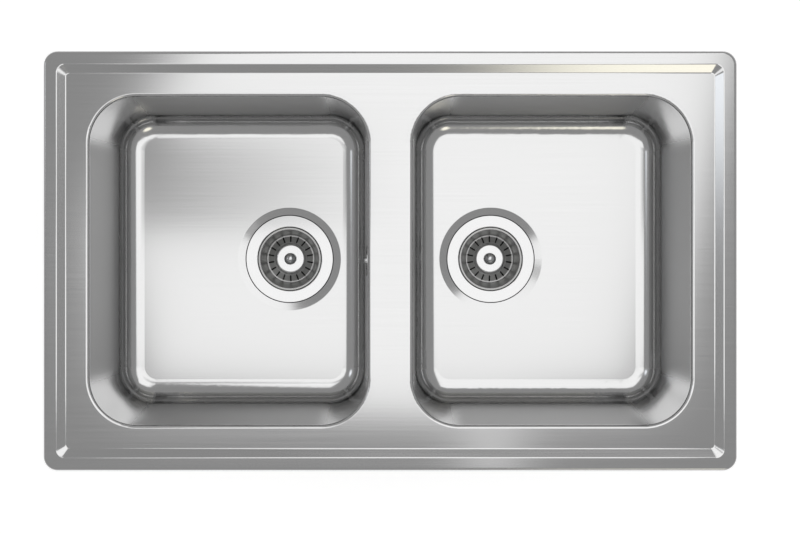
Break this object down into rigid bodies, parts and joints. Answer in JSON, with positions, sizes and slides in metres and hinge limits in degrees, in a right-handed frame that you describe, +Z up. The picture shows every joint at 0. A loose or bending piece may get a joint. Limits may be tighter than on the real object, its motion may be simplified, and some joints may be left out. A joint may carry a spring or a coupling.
{
  "type": "double bowl kitchen sink",
  "caption": "Inset stainless steel kitchen sink with two deep bowls, stepped rim, basket strainer wastes, overflow hose and under-worktop clamps.",
  "frame": {"origin": "middle of the rim in the plane of the worktop's surface, where the seal under the rim rests", "axes": "+X along the sink from the left bowl to the right bowl, +Y from the front edge to the back edge, +Z up out of the worktop"},
  "size_m": [0.826, 0.5, 0.2775],
  "materials": {
    "satin_stainless": "fine satin-brushed stainless sheet",
    "polished_stainless": "polished stainless pressing",
    "strainer_stainless": "bright pressed stainless",
    "chrome_knob": "chrome-plated turned knob",
    "fastener_stainless": "turned stainless",
    "brass": "turned brass",
    "black_rubber": "moulded rubber",
    "grey_rubber": "moulded rubber",
    "sound_pad_rubber": "matt bitumen-rubber sheet",
    "seal_foam": "closed-cell foam strip",
    "white_polypropylene": "moulded polypropylene",
    "white_hose": "corrugated polypropylene",
    "zinc_plated_steel": "zinc-plated pressed steel"
  },
  "bodies": {
    "root": {"clamp_brackets": "zinc_plated_steel", "clamp_lugs": "zinc_plated_steel", "clamp_screws": "zinc_plated_steel", "deck_panel": "satin_stainless", "hose_clips": "zinc_plated_steel", "left_body_gasket": "grey_rubber", "left_bowl": "satin_stainless", "left_flange_gasket": "grey_rubber", "left_screw_insert": "brass", "left_sound_pad": "sound_pad_rubber", "left_waste_body": "white_polypropylene", "left_waste_flange": "polished_stainless", "left_waste_screw": "fastener_stainless", "overflow_elbow": "white_polypropylene", "overflow_gasket": "grey_rubber", "overflow_hose": "white_hose", "overflow_rosette": "polished_stainless", "overflow_screw": "polished_stainless", "right_body_gasket": "grey_rubber", "right_bowl": "satin_stainless", "right_flange_gasket": "grey_rubber", "right_screw_insert": "brass", "right_sound_pad": "sound_pad_rubber", "right_waste_body": "white_polypropylene", "right_waste_flange": "polished_stainless", "right_waste_screw": "fastener_stainless", "rim_seal": "seal_foam"},
    "left_basket": {"left_basket_cup": "strainer_stainless", "left_basket_knob": "chrome_knob", "left_basket_stem": "fastener_stainless", "left_basket_stopper": "black_rubber", "left_stem_nut": "fastener_stainless"},
    "right_basket": {"right_basket_cup": "strainer_stainless", "right_basket_knob": "chrome_knob", "right_basket_stem": "fastener_stainless", "right_basket_stopper": "black_rubber", "right_stem_nut": "fastener_stainless"},
    "clamp_nut_1": {"clamp_nut_1": "zinc_plated_steel"},
    "clamp_arm_1": {"clamp_arm_1": "zinc_plated_steel"},
    "clamp_nut_2": {"clamp_nut_2": "zinc_plated_steel"},
    "clamp_arm_2": {"clamp_arm_2": "zinc_plated_steel"},
    "clamp_nut_3": {"clamp_nut_3": "zinc_plated_steel"},
    "clamp_arm_3": {"clamp_arm_3": "zinc_plated_steel"},
    "clamp_nut_4": {"clamp_nut_4": "zinc_plated_steel"},
    "clamp_arm_4": {"clamp_arm_4": "zinc_plated_steel"},
    "clamp_nut_5": {"clamp_nut_5": "zinc_plated_steel"},
    "clamp_arm_5": {"clamp_arm_5": "zinc_plated_steel"},
    "clamp_nut_6": {"clamp_nut_6": "zinc_plated_steel"},
    "clamp_arm_6": {"clamp_arm_6": "zinc_plated_steel"},
    "clamp_nut_7": {"clamp_nut_7": "zinc_plated_steel"},
    "clamp_arm_7": {"clamp_arm_7": "zinc_plated_steel"},
    "clamp_nut_8": {"clamp_nut_8": "zinc_plated_steel"},
    "clamp_arm_8": {"clamp_arm_8": "zinc_plated_steel"}
  },
  "joints": [
    {"name": "left_basket_lift", "type": "slide", "parent": "root", "child": "left_basket", "axis": [0, 0, 1], "range_m": [0, 0.235]},
    {"name": "right_basket_lift", "type": "slide", "parent": "root", "child": "right_basket", "axis": [0, 0, 1], "range_m": [0, 0.235]},
    {"name": "clamp_tighten_1", "type": "slide", "parent": "root", "child": "clamp_nut_1", "axis": [0, 0, 1], "range_m": [0, 0.014]},
    {"name": "clamp_swing_1", "type": "hinge", "parent": "clamp_nut_1", "child": "clamp_arm_1", "pos_m": [-0.26, 0.214, -0.06], "axis": [0, 0, 1], "range_deg": [0, 90]},
    {"name": "clamp_tighten_2", "type": "slide", "parent": "root", "child": "clamp_nut_2", "axis": [0, 0, 1], "range_m": [0, 0.014]},
    {"name": "clamp_swing_2", "type": "hinge", "parent": "clamp_nut_2", "child": "clamp_arm_2", "pos_m": [0, 0.214, -0.06], "axis": [0, 0, 1], "range_deg": [0, 90]},
    {"name": "clamp_tighten_3", "type": "slide", "parent": "root", "child": "clamp_nut_3", "axis": [0, 0, 1], "range_m": [0, 0.014]},
    {"name": "clamp_swing_3", "type": "hinge", "parent": "clamp_nut_3", "child": "clamp_arm_3", "pos_m": [0.26, 0.214, -0.06], "axis": [0, 0, 1], "range_deg": [0, 90]},
    {"name": "clamp_tighten_4", "type": "slide", "parent": "root", "child": "clamp_nut_4", "axis": [0, 0, 1], "range_m": [0, 0.014]},
    {"name": "clamp_swing_4", "type": "hinge", "parent": "clamp_nut_4", "child": "clamp_arm_4", "pos_m": [0.377, 0, -0.06], "axis": [0, 0, 1], "range_deg": [0, 90]},
    {"name": "clamp_tighten_5", "type": "slide", "parent": "root", "child": "clamp_nut_5", "axis": [0, 0, 1], "range_m": [0, 0.014]},
    {"name": "clamp_swing_5", "type": "hinge", "parent": "clamp_nut_5", "child": "clamp_arm_5", "pos_m": [0.26, -0.214, -0.06], "axis": [0, 0, 1], "range_deg": [0, 90]},
    {"name": "clamp_tighten_6", "type": "slide", "parent": "root", "child": "clamp_nut_6", "axis": [0, 0, 1], "range_m": [0, 0.014]},
    {"name": "clamp_swing_6", "type": "hinge", "parent": "clamp_nut_6", "child": "clamp_arm_6", "pos_m": [0, -0.214, -0.06], "axis": [0, 0, 1], "range_deg": [0, 90]},
    {"name": "clamp_tighten_7", "type": "slide", "parent": "root", "child": "clamp_nut_7", "axis": [0, 0, 1], "range_m": [0, 0.014]},
    {"name": "clamp_swing_7", "type": "hinge", "parent": "clamp_nut_7", "child": "clamp_arm_7", "pos_m": [-0.26, -0.214, -0.06], "axis": [0, 0, 1], "range_deg": [0, 90]},
    {"name": "clamp_tighten_8", "type": "slide", "parent": "root", "child": "clamp_nut_8", "axis": [0, 0, 1], "range_m": [0, 0.014]},
    {"name": "clamp_swing_8", "type": "hinge", "parent": "clamp_nut_8", "child": "clamp_arm_8", "pos_m": [-0.377, 0, -0.06], "axis": [0, 0, 1], "range_deg": [0, 90]}
  ]
}
